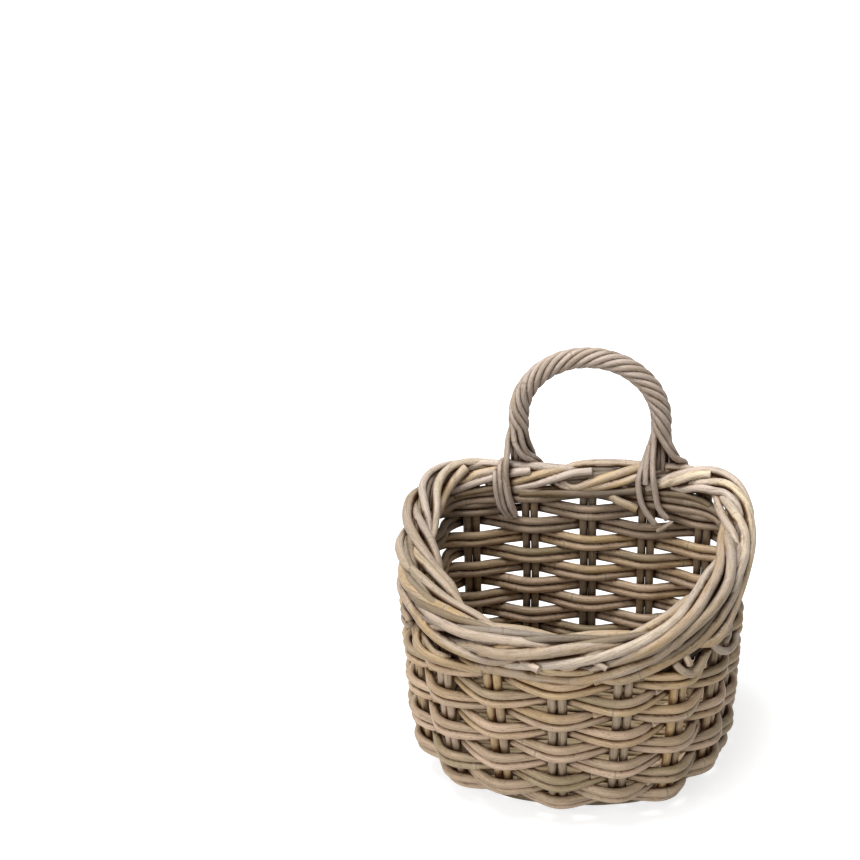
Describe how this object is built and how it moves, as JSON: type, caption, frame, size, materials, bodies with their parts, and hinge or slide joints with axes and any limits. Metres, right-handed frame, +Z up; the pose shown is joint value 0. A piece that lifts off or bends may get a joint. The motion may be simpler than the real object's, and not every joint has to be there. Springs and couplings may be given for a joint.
{
  "type": "wall basket",
  "caption": "Woven rattan wall basket with a flat back, a round front, a rope border that rises to the back and a twisted carrying loop.",
  "frame": {"origin": "on the ground, under the middle base stick, at the middle of the base", "axes": "+Z up, +Y from the basket to the wall that it hangs on, +X to the right hand of someone who faces the wall"},
  "size_m": [0.276, 0.2708, 0.2961],
  "materials": {
    "stake_cane": "round rattan, dry, grey brown, nodes and fine lengthwise streaks",
    "weaver_cane": "round rattan, dry, mottled grey tan, satin skin on the high places",
    "border_cane": "round rattan, satin, tan to pinkish grey, paler where it turns",
    "loop_cane": "round rattan, satin, grey brown",
    "base_cane": "round rattan, matt, dark"
  },
  "bodies": {
    "root": {"stake_pair_01": "stake_cane", "stake_pair_02": "stake_cane", "stake_pair_03": "stake_cane", "stake_pair_04": "stake_cane", "stake_pair_05": "stake_cane", "stake_pair_06": "stake_cane", "stake_pair_07": "stake_cane", "stake_pair_08": "stake_cane", "stake_pair_09": "stake_cane", "stake_pair_10": "stake_cane", "stake_pair_11": "stake_cane", "stake_pair_12": "stake_cane", "stake_pair_13": "stake_cane", "stake_pair_14": "stake_cane", "stake_pair_15": "stake_cane", "stake_pair_16": "stake_cane", "stake_pair_17": "stake_cane", "stake_pair_18": "stake_cane", "weaver_row_01": "weaver_cane", "weaver_row_02": "weaver_cane", "weaver_row_03": "weaver_cane", "weaver_row_04": "weaver_cane", "weaver_row_05": "weaver_cane", "weaver_row_06": "weaver_cane", "weaver_row_07": "weaver_cane", "weaver_row_08": "weaver_cane", "weaver_row_09": "weaver_cane", "weaver_row_10": "weaver_cane", "weaver_row_11": "weaver_cane", "weaver_row_12": "weaver_cane", "border_strand_1": "border_cane", "border_strand_2": "border_cane", "border_strand_3": "border_cane", "border_strand_4": "border_cane", "border_strand_5": "border_cane", "border_strand_6": "border_cane", "handle_core": "loop_cane", "handle_strand_1": "loop_cane", "handle_strand_2": "loop_cane", "handle_strand_3": "loop_cane", "handle_strand_4": "loop_cane", "handle_strand_5": "loop_cane", "handle_strand_6": "loop_cane", "handle_strand_7": "loop_cane", "base_stick_1": "base_cane", "base_stick_2": "base_cane", "base_stick_3": "base_cane", "base_stick_4": "base_cane", "base_stick_5": "base_cane", "base_mat": "base_cane"}
  },
  "joints": []
}
